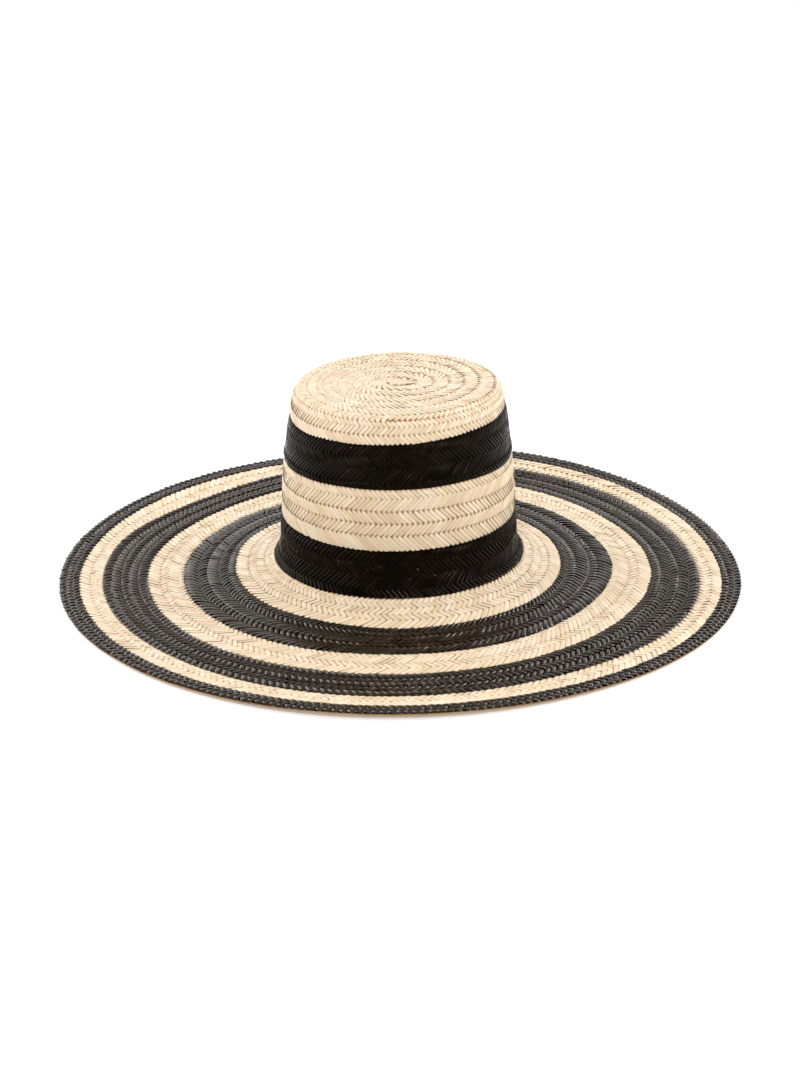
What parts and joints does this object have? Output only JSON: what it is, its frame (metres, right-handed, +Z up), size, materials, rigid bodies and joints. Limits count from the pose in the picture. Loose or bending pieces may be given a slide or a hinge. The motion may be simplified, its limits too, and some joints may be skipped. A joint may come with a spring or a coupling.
{
  "type": "wide-brimmed plaited-straw hat",
  "caption": "Wide, nearly flat brim and a tall flat-topped crown, sewn in rings from herringbone-plaited straw in alternating natural and black bands.",
  "frame": {"origin": "on the resting plane, under the middle of the crown", "axes": "+Z up along the crown's axis, -Y to the front, +X to the right"},
  "size_m": [0.51, 0.51, 0.1527],
  "materials": {
    "natural_straw": "plaited natural straw, satin sheen along each straw",
    "black_straw": "plaited straw dyed black, glossy",
    "backing_straw": "plaited tan straw, matt"
  },
  "bodies": {
    "root": {"crown_top": "natural_straw", "crown_band_natural_upper": "natural_straw", "crown_band_black_upper": "black_straw", "crown_band_natural_middle": "natural_straw", "crown_band_black_lower": "black_straw", "brim_band_natural_inner": "natural_straw", "brim_band_black_inner": "black_straw", "brim_band_natural_middle": "natural_straw", "brim_band_black_outer": "black_straw", "brim_band_natural_outer": "natural_straw", "brim_edge_black": "black_straw", "brim_edge_backing": "backing_straw"}
  },
  "joints": []
}
